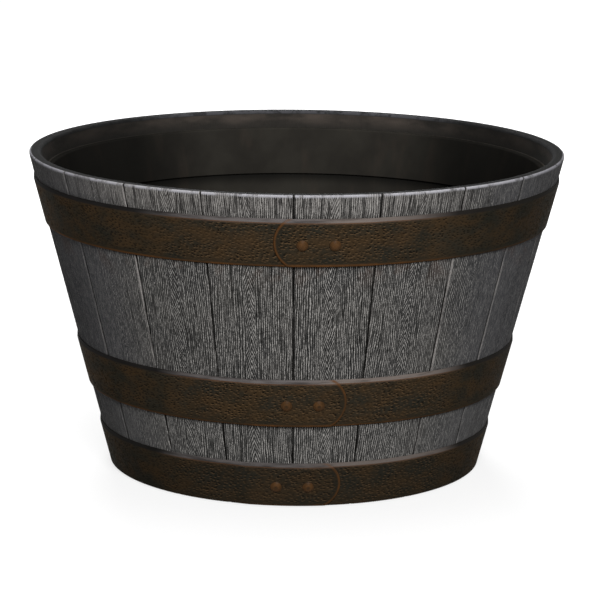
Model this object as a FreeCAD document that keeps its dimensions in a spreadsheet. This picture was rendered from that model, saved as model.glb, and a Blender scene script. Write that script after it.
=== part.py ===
import FreeCAD, Part
import math
import os
import Sketcher
from FreeCAD import Placement, Rotation, Vector

# A half-barrel planter: tapered staves held by three riveted hoops, a boarded head
# let into the staves near the floor, and a moulded liner that stands on the head.
# The barrel's axis is Z, the floor is Z = 0, and the hoops' laps face -Y, the front.

doc = FreeCAD.newDocument("half_barrel_planter")

# Driving sizes in millimetres, degrees and counts, each with what it measures
SIZES = (
    ("barrel_height", 310, "floor to the top ends of the staves"),
    ("rim_radius", 260.8, "outside of the staves at the top"),
    ("base_radius", 180, "outside of the staves at the floor"),
    ("stave_count", 20, "staves round the barrel"),
    ("wide_stave_angle", 18.93, "share of the round that a wide stave takes up"),
    ("stave_thickness", 12, "outer face to inner face, measured level"),
    ("stave_turn", -0.5, "first seam's angle from the front, towards +X"),
    ("seam_gap", 0.2, "between neighbouring staves at the rim"),
    ("seam_chamfer", 1.4, "along both outer edges of a stave"),
    ("rim_outer_round", 2.5, "outer edge of a stave's top end"),
    ("rim_inner_round", 4, "inner edge of a stave's top end"),
    ("chime_bevel", 5, "inner edge of a stave's foot"),
    ("chime_depth", 25, "floor to the underside of the head"),
    ("croze_depth", 4.5, "groove for the head, at its middle"),
    ("head_thickness", 12, "boards of the head"),
    ("head_bevel", 3, "lower edge of the head, all round"),
    ("head_clearance", 0.15, "head to the walls of its groove"),
    ("board_count", 5, "boards in the head"),
    ("board_gap", 0.2, "between neighbouring head boards"),
    ("dowel_diameter", 6, "dowels between the head boards"),
    ("dowel_length", 30, "half in each of two boards"),
    ("dowel_spacing", 180, "between the two dowels of one joint"),
    ("dowel_clearance", 0.1, "dowel to its bore, all round and at both ends"),
    ("drain_count", 4, "drain holes round the middle one"),
    ("drain_circle", 75, "radius that the drain holes stand on"),
    ("drain_turn", 45, "angle from +X to the first of them"),
    ("drain_diameter", 12, "drain holes in the liner"),
    ("drain_clearance", 1, "wider all round where they pass the head"),
    ("hoop_thickness", 1.8, "strip that the hoops are made of, measured level"),
    ("hoop_clearance", 0.1, "hoop to the faces of the staves"),
    ("hoop_bevel", 4.2, "height of a hoop's sloped upper edge"),
    ("hoop_land", 0.5, "thickness left at a hoop's top"),
    ("hoop_break", 0.6, "chamfer of a hoop's lower outer edge"),
    ("top_hoop_width", 47.4, "width of the strip, along the slope"),
    ("top_hoop_drop", 22.2, "rim down to the upper edge of the top hoop"),
    ("top_nose_angle", -4.7, "end of the lap from the front, towards +X"),
    ("top_rivet_setback", 26.1, "end of the lap to the first rivet"),
    ("middle_hoop_width", 48.4, "width of the strip, along the slope"),
    ("middle_hoop_foot", 82.8, "floor to the lower edge of the middle hoop"),
    ("middle_nose_angle", 13.3, "end of the lap from the front, towards +X"),
    ("middle_rivet_setback", 25.8, "end of the lap to the first rivet"),
    ("bottom_hoop_width", 45, "width of the strip, along the slope"),
    ("bottom_hoop_foot", 1, "floor to the lower edge of the bottom hoop"),
    ("bottom_nose_angle", 13.4, "end of the lap from the front, towards +X"),
    ("bottom_rivet_setback", 30.1, "end of the lap to the first rivet"),
    ("lap_length", 84, "outer end of a hoop that lies over the inner end"),
    ("lap_ramp", 24, "length in which the outer end comes down to the staves"),
    ("lap_clearance", 0.1, "between the two layers of the lap"),
    ("lap_end_gap", 2, "inner end of a hoop to the start of the ramp"),
    ("nose_depth", 12.5, "how far the rounded end of the lap bulges"),
    ("rivet_pitch", 29.4, "first rivet to the second"),
    ("rivet_head_diameter", 11.4, "domed head of a rivet"),
    ("rivet_head_height", 2.6, "top of the dome above the lap"),
    ("rivet_shank_diameter", 5, "shank of a rivet"),
    ("rivet_clearance", 0.1, "shank to its bore, all round"),
    ("liner_drop", 17, "rim down to the top edge of the liner"),
    ("liner_band_drop", 63, "rim down to the lower edge of the thick band round its top"),
    ("liner_band", 6.5, "thick band round the top of the liner, measured level"),
    ("liner_wall", 3, "wall of the liner, measured level"),
    ("liner_floor", 4, "floor of the liner"),
    ("liner_clearance", 0.5, "liner to the inner faces of the staves"),
    ("liner_corner", 14, "round between the liner's wall and floor, inside"),
    ("band_bevel", 0.8, "lower inner edge of the thick band"),
    ("liner_edge_bevel", 1.4, "inner top edge of the liner"),
)
sheet = doc.addObject("Spreadsheet::Sheet", "size")
for row, (alias, number, meaning) in enumerate(SIZES, start=1):
    sheet.set(f"A{row}", meaning)
    sheet.set(f"B{row}", str(number))
    sheet.setAlias(f"B{row}", alias)
doc.recompute()

# How closely a point has to lie on a named place to count as being there
NEAR = 0.001
# Staves of the wider cut, counted anticlockwise from the first seam
WIDE_STAVES = (2, 18, 20)
# Straight steps that a lap's smooth ramp is made of
RAMP_STEPS = 6
# How far a cutting shape reaches past what it cuts
OVERRUN = 5


def value(expression):
    """The number that an expression on the sheet comes to."""
    return float(sheet.evalExpression(expression))


SPREAD = "(size.rim_radius - size.base_radius)"
SLOPE = f"({SPREAD} / size.barrel_height)"
TAPER_COSINE = f"(size.barrel_height / sqrt(size.barrel_height ^ 2 + {SPREAD} ^ 2))"


def stave_face(height):
    """Radius of the staves' outer face at a height."""
    return f"(size.base_radius + {SLOPE} * ({height}))"


def stave_back(height):
    """Radius of the staves' inner face at a height."""
    return f"({stave_face(height)} - size.stave_thickness)"


def origin_feature(body, role):
    """One of a body's own origin planes or axes."""
    return next(feature for feature in body.Origin.OriginFeatures if feature.Role == role)


def new_sketch(body, name, plane):
    """An empty sketch on one of a body's origin planes."""
    sketch = body.newObject("Sketcher::SketchObject", name)
    sketch.AttachmentSupport = (origin_feature(body, plane), [""])
    sketch.MapMode = "FlatFace"
    return sketch


def fix_point(sketch, line, end, across, up):
    """Ties one end of a line to a place given by two expressions."""
    for kind, expression in (("DistanceX", across), ("DistanceY", up)):
        rule = Sketcher.Constraint(kind, -1, 1, line, end, value(expression))
        sketch.setExpression(f"Constraints[{sketch.addConstraint(rule)}]", expression)


def outline(body, name, plane, points):
    """A closed sketch of straight lines through places given as pairs of expressions."""
    sketch = new_sketch(body, name, plane)
    corners = [Vector(value(across), value(up), 0) for across, up in points]
    for start, end in zip(corners, corners[1:] + corners[:1]):
        sketch.addGeometry(Part.LineSegment(start, end))
    for line in range(len(corners)):
        following = (line + 1) % len(corners)
        sketch.addConstraint(Sketcher.Constraint("Coincident", line, 2, following, 1))
    for line, (across, up) in enumerate(points):
        fix_point(sketch, line, 1, across, up)
    return sketch


def arched_outline(body, name, plane, points, radius, bulge):
    """A closed sketch of straight lines whose last point is joined to its first by an arc.

    With bulge 1 the arc swells to the left of the way to the first point, with -1 to the right.
    """
    sketch = new_sketch(body, name, plane)
    corners = [Vector(value(across), value(up), 0) for across, up in points]
    for start, end in zip(corners, corners[1:]):
        sketch.addGeometry(Part.LineSegment(start, end))
    chord = corners[0] - corners[-1]
    size = value(radius)
    swell = size - math.sqrt(size ** 2 - chord.Length ** 2 / 4)
    sideways = Vector(-chord.y, chord.x, 0) * (bulge * swell / chord.Length)
    arc = sketch.addGeometry(Part.Arc(corners[-1], (corners[0] + corners[-1]) / 2 + sideways, corners[0]))
    last = len(corners) - 2
    for line in range(last):
        sketch.addConstraint(Sketcher.Constraint("Coincident", line, 2, line + 1, 1))
    for line, (across, up) in enumerate(points[:-1]):
        fix_point(sketch, line, 1, across, up)
    fix_point(sketch, last, 2, *points[-1])
    turned_over = (sketch.getPoint(arc, 1) - corners[-1]).Length > NEAR
    near_last, near_first = (2, 1) if turned_over else (1, 2)
    sketch.addConstraint(Sketcher.Constraint("Coincident", arc, near_last, last, 2))
    sketch.addConstraint(Sketcher.Constraint("Coincident", arc, near_first, 0, 1))
    rule = sketch.addConstraint(Sketcher.Constraint("Radius", arc, size))
    sketch.setExpression(f"Constraints[{rule}]", radius)
    return sketch


def revolve(body, name, sketch, angle, kind="PartDesign::Revolution"):
    """Material added, or taken away by a groove, all along a turn about the body's own Z axis."""
    turned = body.newObject(kind, name)
    turned.Profile = sketch
    turned.ReferenceAxis = (sketch, ["V_Axis"])
    turned.setExpression("Angle", angle)
    return turned


def level_edges(shape, radius, height):
    """Names of the level edges that run round the axis at a radius and a height."""
    names = []
    for number, edge in enumerate(shape.Edges, start=1):
        ends = [vertex.Point for vertex in edge.Vertexes]
        level = edge.BoundBox.ZLength < NEAR and abs(ends[0].z - height) < NEAR
        if level and all(abs(math.hypot(end.x, end.y) - radius) < NEAR for end in ends):
            names.append(f"Edge{number}")
    return names


def round_edges(body, name, corner, radius):
    """A fillet on a body's edge that runs round the axis through a corner of its outline."""
    doc.recompute()
    base = body.Tip
    fillet = body.newObject("PartDesign::Fillet", name)
    fillet.Base = (base, level_edges(base.Shape, *[value(place) for place in corner]))
    fillet.setExpression("Radius", radius)


def cut_or_stop(body, before):
    """Stops the build if the last cut has taken nothing away."""
    doc.recompute()
    if not body.Shape.Volume < before:
        raise RuntimeError(f"{body.Label}: a cut took nothing away")


def turned_about_axis(azimuth):
    """A placement turned about the barrel's axis, as an expression."""
    return f"placement(vector(0; 0; 0); vector(0; 0; 1); ({azimuth}) * 1 deg)"


def boolean(kind, name, base, tool):
    """A two-shape boolean of the document."""
    result = doc.addObject(kind, name)
    result.Base = base
    result.Tool = tool
    return result


def joined(name, shapes):
    """Several shapes as one cutting tool."""
    tool = doc.addObject("Part::MultiFuse", name)
    tool.Shapes = shapes
    return tool


parts = []


def keep(node, label):
    """Lists a finished sub-part under the name of its node."""
    node.Label = label
    parts.append(node)


# Staves: boards leaning outwards, with the groove for the head and a bevelled foot
croze_foot = "(size.chime_depth - size.head_clearance)"
croze_crown = "(size.chime_depth + size.head_thickness + size.head_clearance)"
croze_radius = f"({stave_back('size.chime_depth + size.head_thickness / 2')} + size.croze_depth)"
wide_total = len(WIDE_STAVES)
narrow_angle = f"((360 - {wide_total} * size.wide_stave_angle) / (size.stave_count - {wide_total}))"
seam_angle = "(size.seam_gap / size.rim_radius * 180 / pi)"
rim = "size.barrel_height"
stave_section = [
    (stave_face("0"), "0"),
    (stave_face(rim), rim),
    (stave_back(rim), rim),
    (stave_back(croze_crown), croze_crown),
    (croze_radius, croze_crown),
    (croze_radius, croze_foot),
    (stave_back(croze_foot), croze_foot),
    (stave_back("size.chime_bevel"), "size.chime_bevel"),
    (f"{stave_back('0')} + size.chime_bevel", "0"),
]


def seam_edges(shape):
    """Names of the two long edges between a stave's outer face and its sides."""
    names = []
    for number, edge in enumerate(shape.Edges, start=1):
        ends = [vertex.Point for vertex in edge.Vertexes]
        outside = all(abs(math.hypot(end.x, end.y) - value(stave_face(end.z))) < NEAR for end in ends)
        if outside and edge.BoundBox.ZLength > value(rim) - NEAR:
            names.append(f"Edge{number}")
    return names


def round_rim(body, name, corner, radius, outwards):
    """Rounds an edge of a stave's top end, the outer one with outwards 1, the inner one with -1."""
    doc.recompute()
    square_volume = body.Shape.Volume
    reach = f"({radius} / tan((90 deg - {outwards} * atan({SLOPE})) / 2))"
    on_top = f"({corner} - {outwards} * {reach})"
    on_side = f"({corner} - {reach} * {SLOPE} * {TAPER_COSINE})"
    below = f"({rim} - {reach} * {TAPER_COSINE})"
    clear = f"({corner} + {outwards} * {OVERRUN})"
    above = f"({rim} + {OVERRUN})"
    points = [(on_top, rim), (on_top, above), (clear, above), (clear, below), (on_side, below)]
    waste = arched_outline(body, f"{name}_waste", "XZ_Plane", points, radius, outwards)
    revolve(body, name, waste, "360", "PartDesign::Groove")
    cut_or_stop(body, square_volume)


for number in range(1, round(value("size.stave_count")) + 1):
    wide_before = sum(wide < number for wide in WIDE_STAVES)
    narrow_before = number - 1 - wide_before
    near_seam = f"({wide_before} * size.wide_stave_angle + {narrow_before} * {narrow_angle})"
    share = "size.wide_stave_angle" if number in WIDE_STAVES else narrow_angle
    stave = doc.addObject("PartDesign::Body", f"stave_{number:02d}")
    section = outline(stave, f"stave_section_{number:02d}", "XZ_Plane", stave_section)
    board = revolve(stave, f"stave_board_{number:02d}", section, f"{share} - {seam_angle}")
    board.Midplane = True
    doc.recompute()
    seam = stave.newObject("PartDesign::Chamfer", f"stave_seam_{number:02d}")
    seam.Base = (board, seam_edges(board.Shape))
    seam.setExpression("Size", "size.seam_chamfer")
    round_rim(stave, f"stave_rim_{number:02d}", stave_face(rim), "size.rim_outer_round", 1)
    round_rim(stave, f"stave_lip_{number:02d}", stave_back(rim), "size.rim_inner_round", -1)
    azimuth = f"size.stave_turn - 90 + {near_seam} + {share} / 2"
    stave.setExpression("Placement", turned_about_axis(azimuth))
    keep(stave, f"stave_{number:02d}")

# Head: a round bottom of boards, dowelled edge to edge, its rim in the staves' groove
head_radius = f"({croze_radius} - size.head_clearance)"
head_foot = "size.chime_depth"
head_crown = "(size.chime_depth + size.head_thickness)"
head_middle = "(size.chime_depth + size.head_thickness / 2)"
blank = doc.addObject("PartDesign::Body", "head_blank")
blank_section = outline(blank, "head_section", "XZ_Plane", [
    ("0", head_foot),
    (f"{head_radius} - size.head_bevel", head_foot),
    (head_radius, f"{head_foot} + size.head_bevel"),
    (head_radius, head_crown),
    ("0", head_crown),
])
revolve(blank, "head_disc", blank_section, "360")

board_pitch = f"(2 * {head_radius} / size.board_count)"
board_total = round(value("size.board_count"))


def dowel(name, joint, side, clearance):
    """A dowel, or its bore, lying across a joint of the head."""
    peg = doc.addObject("Part::Cylinder", name)
    peg.setExpression("Radius", f"size.dowel_diameter / 2 + {clearance}")
    peg.setExpression("Height", f"size.dowel_length + 2 * ({clearance})")
    across = f"{side} * size.dowel_spacing / 2"
    near_end = f"{board_pitch} * {joint} - {head_radius} - size.dowel_length / 2 - {clearance}"
    start = f"vector({across}; {near_end}; {head_middle})"
    peg.setExpression("Placement", f"placement({start}; vector(1; 0; 0); -90 deg)")
    return peg


def drain(name, azimuth, circle):
    """The bore of one drain hole through the head."""
    bore = doc.addObject("Part::Cylinder", name)
    bore.setExpression("Radius", "size.drain_diameter / 2 + size.drain_clearance")
    bore.setExpression("Height", f"size.head_thickness + 2 * {OVERRUN}")
    stand = f"placement(vector({circle}; 0; {head_foot} - {OVERRUN}); vector(0; 0; 1); 0 deg)"
    bore.setExpression("Placement", f"{turned_about_axis(azimuth)} * {stand}")
    return bore


bores = [drain("drain_bore_0", "0", "0")]
for number in range(1, round(value("size.drain_count")) + 1):
    azimuth = f"size.drain_turn + {number} * 360 / size.drain_count"
    bores.append(drain(f"drain_bore_{number}", azimuth, "size.drain_circle"))
dowels = []
for joint in range(1, board_total):
    for side in (-1, 1):
        place = f"{joint}_{'left' if side < 0 else 'right'}"
        bores.append(dowel(f"dowel_bore_{place}", joint, side, "size.dowel_clearance"))
        dowels.append(dowel(f"dowel_{place}", joint, side, "0"))
head_bores = joined("head_bores", bores)

for number in range(1, board_total + 1):
    slab = doc.addObject("Part::Box", f"head_slab_{number}")
    slab.setExpression("Length", f"2 * {head_radius} + 2 * {OVERRUN}")
    slab.setExpression("Width", f"{board_pitch} - size.board_gap")
    slab.setExpression("Height", f"size.head_thickness + 2 * {OVERRUN}")
    near_edge = f"{board_pitch} * {number - 1} - {head_radius} + size.board_gap / 2"
    slab.setExpression("Placement.Base.x", f"-{head_radius} - {OVERRUN}")
    slab.setExpression("Placement.Base.y", near_edge)
    slab.setExpression("Placement.Base.z", f"{head_foot} - {OVERRUN}")
    sawn = boolean("Part::Common", f"head_sawn_{number}", blank, slab)
    keep(boolean("Part::Cut", f"head_board_{number}", sawn, head_bores), f"head_board_{number}")

dowel_set = doc.addObject("Part::Compound", "head_dowels")
dowel_set.Links = dowels
keep(dowel_set, "head_dowels")


def hoop_rise(name):
    """How much height a hoop's strip takes up on the leaning staves."""
    return f"(size.{name}_hoop_width * {TAPER_COSINE})"


def hoop(name, foot, sense):
    """A strip bent round the staves, its rounded outer end riveted over its inner end.

    The foot is the height of its lower edge. With sense 1 the strip runs anticlockwise from
    its rounded end, with -1 clockwise.
    """
    rise = hoop_rise(name)
    crown = f"({foot} + {rise})"
    bevel_foot = f"({crown} - size.hoop_bevel)"
    break_crown = f"({foot} + size.hoop_break)"
    middle = f"(({foot} + {bevel_foot}) / 2)"
    nose_azimuth = f"(size.{name}_nose_angle - 90)"
    step = "(size.hoop_thickness + size.lap_clearance)"
    body = doc.addObject("PartDesign::Body", f"hoop_{name}_strip")

    def degrees(length):
        """The angle that a length along the strip takes up."""
        return f"(({length}) / {stave_face(middle)} * 180 / pi)"

    def strip_section(label, lift, turn):
        """The strip's section at an angle from its rounded end, lifted off the staves."""
        def seat(height):
            return f"({stave_face(height)} + size.hoop_clearance + {lift})"
        sketch = outline(body, f"hoop_{name}_{label}", "XZ_Plane", [
            (seat(foot), foot),
            (f"{seat(foot)} + size.hoop_thickness - size.hoop_break", foot),
            (f"{seat(break_crown)} + size.hoop_thickness", break_crown),
            (f"{seat(bevel_foot)} + size.hoop_thickness", bevel_foot),
            (f"{seat(crown)} + size.hoop_land", crown),
            (seat(crown), crown),
        ])
        sketch.AttachmentOffset = Placement(Vector(), Rotation(Vector(0, 1, 0), 0))
        sketch.setExpression("AttachmentOffset.Rotation.Angle", f"{sense} * ({turn})")
        return sketch

    # The outer end, one strip's thickness above the inner end
    lap = degrees("size.lap_length")
    outer_end = revolve(body, f"hoop_{name}_outer_end", strip_section("nose_section", step, "0"), lap)
    outer_end.Reversed = sense < 0

    # Its rounded nose, cut from the axis outwards
    bulge = f"{sense} * size.nose_depth"
    beyond = f"{-sense} * {OVERRUN}"
    low = f"({foot} - {OVERRUN})"
    high = f"({crown} + {OVERRUN})"
    points = [(bulge, foot), (bulge, low), (beyond, low), (beyond, high), (bulge, high), (bulge, crown)]
    nose_radius = f"({rise} ^ 2 / 4 + size.nose_depth ^ 2) / (2 * size.nose_depth)"
    nose = arched_outline(body, f"hoop_{name}_nose_outline", "YZ_Plane", points, nose_radius, -sense)
    doc.recompute()
    square_volume = body.Shape.Volume
    trim = body.newObject("PartDesign::Pocket", f"hoop_{name}_nose")
    trim.Profile = nose
    trim.Type = "ThroughAll"
    trim.Reversed = True
    cut_or_stop(body, square_volume)

    # The ramp that brings the outer end down on to the staves
    ramp = degrees("size.lap_ramp")
    sections = []
    for index in range(RAMP_STEPS + 1):
        share = index / RAMP_STEPS
        eased = 1 - share * share * (3 - 2 * share)
        turn = f"{lap} + {ramp} * {share}"
        sections.append(strip_section(f"ramp_section_{index}", f"{step} * {eased}", turn))
    joggle = body.newObject("PartDesign::AdditiveLoft", f"hoop_{name}_ramp")
    joggle.Profile = sections[0]
    joggle.Sections = sections[1:]
    joggle.Ruled = True

    # The rest of the strip, on round the barrel and in under the outer end
    round_section = strip_section("round_section", "0", f"{lap} + {ramp}")
    left_open = f"({ramp} + {degrees('size.lap_end_gap')})"
    around = revolve(body, f"hoop_{name}_round", round_section, f"360 - {left_open}")
    around.Reversed = sense < 0
    body.setExpression("Placement", turned_about_axis(nose_azimuth))
    doc.recompute()

    # Rivets square to the lap's face, through both layers and flush inside
    rivets = []
    rivet_bores = []
    grip = f"((size.hoop_thickness + {step}) * {TAPER_COSINE})"
    lap_face = f"({stave_face(middle)} + size.hoop_clearance + {step} + size.hoop_thickness)"
    for index in range(2):
        along = degrees(f"size.{name}_rivet_setback + {index} * size.rivet_pitch")
        swing = turned_about_axis(f"{nose_azimuth} + {sense} * {along}")
        lean = f"(90 deg + atan({SLOPE}))"
        seat = f"{swing} * placement(vector({lap_face}; 0; {middle}); vector(0; 1; 0); {lean})"
        rivet = doc.addObject("PartDesign::Body", f"rivet_{name}_{index + 1}")
        shank = "size.rivet_shank_diameter / 2"
        head = "size.rivet_head_diameter / 2"
        peak = "size.rivet_head_height"
        dome_radius = f"(({head}) ^ 2 / (2 * {peak}) + {peak} / 2)"
        points = [("0", peak), ("0", f"-{grip}"), (shank, f"-{grip}"), (shank, "0"), (head, "0")]
        half = f"rivet_{name}_{index + 1}_section"
        dome = arched_outline(rivet, half, "XZ_Plane", points, dome_radius, -1)
        revolve(rivet, f"rivet_{name}_{index + 1}_turned", dome, "360")
        rivet.setExpression("Placement", seat)
        rivets.append(rivet)
        bore = doc.addObject("Part::Cylinder", f"rivet_bore_{name}_{index + 1}")
        bore.setExpression("Radius", f"{shank} + size.rivet_clearance")
        bore.setExpression("Height", f"{grip} + 2 * {OVERRUN}")
        sink = f"placement(vector(0; 0; -{grip} - {OVERRUN}); vector(0; 0; 1); 0 deg)"
        bore.setExpression("Placement", f"{seat} * {sink}")
        rivet_bores.append(bore)
    drilled = boolean("Part::Cut", f"hoop_{name}", body, joined(f"rivet_bores_{name}", rivet_bores))
    keep(drilled, f"hoop_{name}")
    pair = doc.addObject("Part::Compound", f"rivets_{name}")
    pair.Links = rivets
    keep(pair, f"rivets_{name}")


# Hoops: the top one's rounded end points to -X, the other two's to +X
hoop("top", f"(size.barrel_height - size.top_hoop_drop - {hoop_rise('top')})", 1)
hoop("middle", "size.middle_hoop_foot", -1)
hoop("bottom", "size.bottom_hoop_foot", -1)

# Liner: a moulded tub with a thick band round the inside of its top
liner_crown = "(size.barrel_height - size.liner_drop)"
edge_shoulder = f"({liner_crown} - size.liner_edge_bevel)"
band_foot = "(size.barrel_height - size.liner_band_drop)"
band_shoulder = f"({band_foot} + size.band_bevel)"
floor_top = f"({head_crown} + size.liner_floor)"


def tub(height):
    """Radius of the outside of the liner at a height."""
    return f"({stave_back(height)} - size.liner_clearance)"


outer_corner = (tub(head_crown), head_crown)
inner_corner = (f"{tub(floor_top)} - size.liner_wall", floor_top)
liner = doc.addObject("PartDesign::Body", "liner")
liner_section = outline(liner, "liner_section", "XZ_Plane", [
    ("0", head_crown),
    outer_corner,
    (tub(liner_crown), liner_crown),
    (f"{tub(liner_crown)} - size.liner_band + size.liner_edge_bevel", liner_crown),
    (f"{tub(edge_shoulder)} - size.liner_band", edge_shoulder),
    (f"{tub(band_shoulder)} - size.liner_band", band_shoulder),
    (f"{tub(band_foot)} - size.liner_band + size.band_bevel", band_foot),
    (f"{tub(band_foot)} - size.liner_wall", band_foot),
    inner_corner,
    ("0", floor_top),
])
revolve(liner, "liner_tub", liner_section, "360")
round_edges(liner, "liner_outer_corner", outer_corner, "size.liner_corner + size.liner_wall")
round_edges(liner, "liner_inner_corner", inner_corner, "size.liner_corner")
doc.recompute()


def liner_drain(name, across, up):
    """A drain hole bored upwards through the liner's floor."""
    closed_volume = liner.Shape.Volume
    ring = new_sketch(liner, f"{name}_outline", "XY_Plane")
    middle = Vector(value(across), value(up), 0)
    ring.addGeometry(Part.Circle(middle, Vector(0, 0, 1), value("size.drain_diameter / 2")))
    for kind, expression in (("DistanceX", across), ("DistanceY", up)):
        rule = ring.addConstraint(Sketcher.Constraint(kind, -1, 1, 0, 3, value(expression)))
        ring.setExpression(f"Constraints[{rule}]", expression)
    rule = ring.addConstraint(Sketcher.Constraint("Diameter", 0, value("size.drain_diameter")))
    ring.setExpression(f"Constraints[{rule}]", "size.drain_diameter")
    hole = liner.newObject("PartDesign::Pocket", name)
    hole.Profile = ring
    hole.Type = "ThroughAll"
    hole.Reversed = True
    cut_or_stop(liner, closed_volume)
    return hole


liner_drain("liner_drain_middle", "0", "0")
drain_across = "size.drain_circle * cos(size.drain_turn * 1 deg)"
drain_up = "size.drain_circle * sin(size.drain_turn * 1 deg)"
outer_drain = liner_drain("liner_drain_outer", drain_across, drain_up)
drains = liner.newObject("PartDesign::PolarPattern", "liner_drains")
drains.Originals = [outer_drain]
drains.Axis = (origin_feature(liner, "Z_Axis"), [""])
drains.Angle = 360
drains.setExpression("Occurrences", "size.drain_count")
liner.Tip = drains
keep(liner, "liner")

# Nothing is written unless every object and every sub-part is sound
doc.recompute()
for item in doc.Objects:
    if "Invalid" in item.State or "Error" in item.State:
        raise RuntimeError(f"{item.Name} failed: {item.State}")
for node in parts:
    if node.Shape.isNull() or not node.Shape.isValid():
        raise RuntimeError(f"{node.Label} has no valid shape")
os.makedirs("parts", exist_ok=True)
for node in parts:
    node.Shape.exportStep(f"parts/{node.Label}.step")
    print(f"{node.Label}: {len(node.Shape.Solids)} solid, {node.Shape.Volume / 1000:.1f} cm3")
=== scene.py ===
import bmesh
import bpy
import math
import random
from mathutils import Matrix, Vector, noise


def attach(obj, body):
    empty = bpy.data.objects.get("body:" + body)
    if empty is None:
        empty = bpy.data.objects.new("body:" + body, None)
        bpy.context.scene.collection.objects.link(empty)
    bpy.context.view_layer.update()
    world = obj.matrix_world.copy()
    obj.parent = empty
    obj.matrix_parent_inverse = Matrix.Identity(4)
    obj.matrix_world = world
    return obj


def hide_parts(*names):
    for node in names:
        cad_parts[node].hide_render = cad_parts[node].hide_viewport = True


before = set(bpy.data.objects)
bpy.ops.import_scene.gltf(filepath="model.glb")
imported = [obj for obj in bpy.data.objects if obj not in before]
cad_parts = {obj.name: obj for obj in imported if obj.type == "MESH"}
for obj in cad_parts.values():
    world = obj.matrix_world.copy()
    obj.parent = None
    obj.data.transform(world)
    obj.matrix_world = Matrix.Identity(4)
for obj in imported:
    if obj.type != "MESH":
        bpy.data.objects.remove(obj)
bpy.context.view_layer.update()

# Head: the round bottom, five planed softwood boards stained dark, butted edge to edge and
# let into a groove in the staves. It is seen from below and with the liner lifted out.
HEAD_BOARDS = 5
# Waves a metre along X, Y and Z of the growth rings and of the pores, and size of the damp patches
HEAD_GROWTH = (5, 90, 90)
HEAD_PORES = (40, 900, 900)
DAMP_SIZE = 0.09
PLANED_RELIEF = 0.0006


def screen_colour(red, green, blue):
    """A colour as it should look on the screen, from 0 to 255, as the shader's linear values."""
    levels = [channel / 255 for channel in (red, green, blue)]
    linear = [level / 12.92 if level < 0.04045 else ((level + 0.055) / 1.055) ** 2.4 for level in levels]
    return linear + [1]


EARLY_WOOD = screen_colour(46, 39, 33)
LATE_WOOD = screen_colour(84, 70, 57)
OPEN_PORE = screen_colour(32, 27, 23)
DAMP_WOOD = screen_colour(38, 34, 30)


def add_node(tree, kind, inputs=None, **settings):
    """A node with its settings. Its inputs are plain values, or sockets of other nodes to link."""
    made = tree.nodes.new(kind)
    for name, setting in settings.items():
        setattr(made, name, setting)
    for name, given in (inputs or {}).items():
        if isinstance(given, bpy.types.NodeSocket):
            tree.links.new(given, made.inputs[name])
        else:
            made.inputs[name].default_value = given
    return made


def calc(tree, operation, *terms, clamp=False):
    """The result of a sum on values and sockets."""
    inputs = dict(enumerate(terms))
    return add_node(tree, "ShaderNodeMath", inputs, operation=operation, use_clamp=clamp).outputs[0]


def product(tree, first, *others):
    """Masks and values multiplied together: strong only where all of them are."""
    for other in others:
        first = calc(tree, "MULTIPLY", first, other)
    return first


def between(tree, term, low, high, first=0.0, last=1.0):
    """A value that goes smoothly from first to last as a term goes from low to high."""
    inputs = {"Value": term, "From Min": low, "From Max": high, "To Min": first, "To Max": last}
    made = add_node(tree, "ShaderNodeMapRange", inputs, interpolation_type="SMOOTHSTEP")
    return made.outputs["Result"]


def blended(tree, share, first, second):
    """One colour laid over another by a mask."""
    return add_node(tree, "ShaderNodeMix", {0: share, 6: first, 7: second}, data_type="RGBA").outputs[2]


def stretched(tree, place, scale, offset=(0, 0, 0)):
    """A place stretched along the axes, so that a pattern on it is drawn out."""
    inputs = {"Vector": place, "Scale": scale, "Location": offset}
    return add_node(tree, "ShaderNodeMapping", inputs).outputs["Vector"]


def speckle(tree, place, scale=1.0, detail=2.0, roughness=0.5):
    """Cloudy noise at a place, from 0 to 1."""
    inputs = {"Vector": place, "Scale": scale, "Detail": detail, "Roughness": roughness}
    return add_node(tree, "ShaderNodeTexNoise", inputs).outputs["Fac"]


def new_material(name, specular, roughness=None):
    """A material with its tree, its shader and the object's own coordinates."""
    made = bpy.data.materials.new(name)
    made.use_nodes = True
    tree = made.node_tree
    shader = tree.nodes["Principled BSDF"]
    shader.inputs["Specular IOR Level"].default_value = specular
    if roughness is not None:
        shader.inputs["Roughness"].default_value = roughness
    place = add_node(tree, "ShaderNodeTexCoord").outputs["Object"]
    return made, tree, shader, place


def roughen(tree, shader, height, strength, distance):
    """Lets a pattern stand up from a material's surface by a distance."""
    bump = add_node(tree, "ShaderNodeBump", {"Height": height, "Strength": strength, "Distance": distance})
    tree.links.new(bump.outputs["Normal"], shader.inputs["Normal"])


def dress(piece, material):
    """Gives a piece one material all over."""
    piece.data.materials.clear()
    piece.data.materials.append(material)


def new_group(name, inputs, outputs):
    """An empty shader node group, with its incoming and its outgoing sockets by name."""
    group = bpy.data.node_groups.new(name, "ShaderNodeTree")
    for socket, kind in inputs.items():
        group.interface.new_socket(socket, in_out="INPUT", socket_type=kind)
    for socket in outputs:
        group.interface.new_socket(socket, in_out="OUTPUT", socket_type="NodeSocketFloat")
    return group, group.nodes.new("NodeGroupInput").outputs, group.nodes.new("NodeGroupOutput").inputs


# Soft cloudy patches of stain, dust or wear, on every material at its own size
mottle, given, found = new_group(
    "mottle", {"Place": "NodeSocketVector", "Size": "NodeSocketFloat"}, ["Patch"])
patch_scale = calc(mottle, "DIVIDE", 1.0, given["Size"])
broad_patches = speckle(mottle, given["Place"], patch_scale, detail=3.0, roughness=0.6)
mottle.links.new(between(mottle, broad_patches, 0.3, 0.7), found["Patch"])


def patches(tree, place, size):
    """Cloudy patches of about a size in metres, from 0 to 1."""
    made = add_node(tree, "ShaderNodeGroup", {"Place": place, "Size": size}, node_tree=mottle)
    return made.outputs["Patch"]


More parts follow.
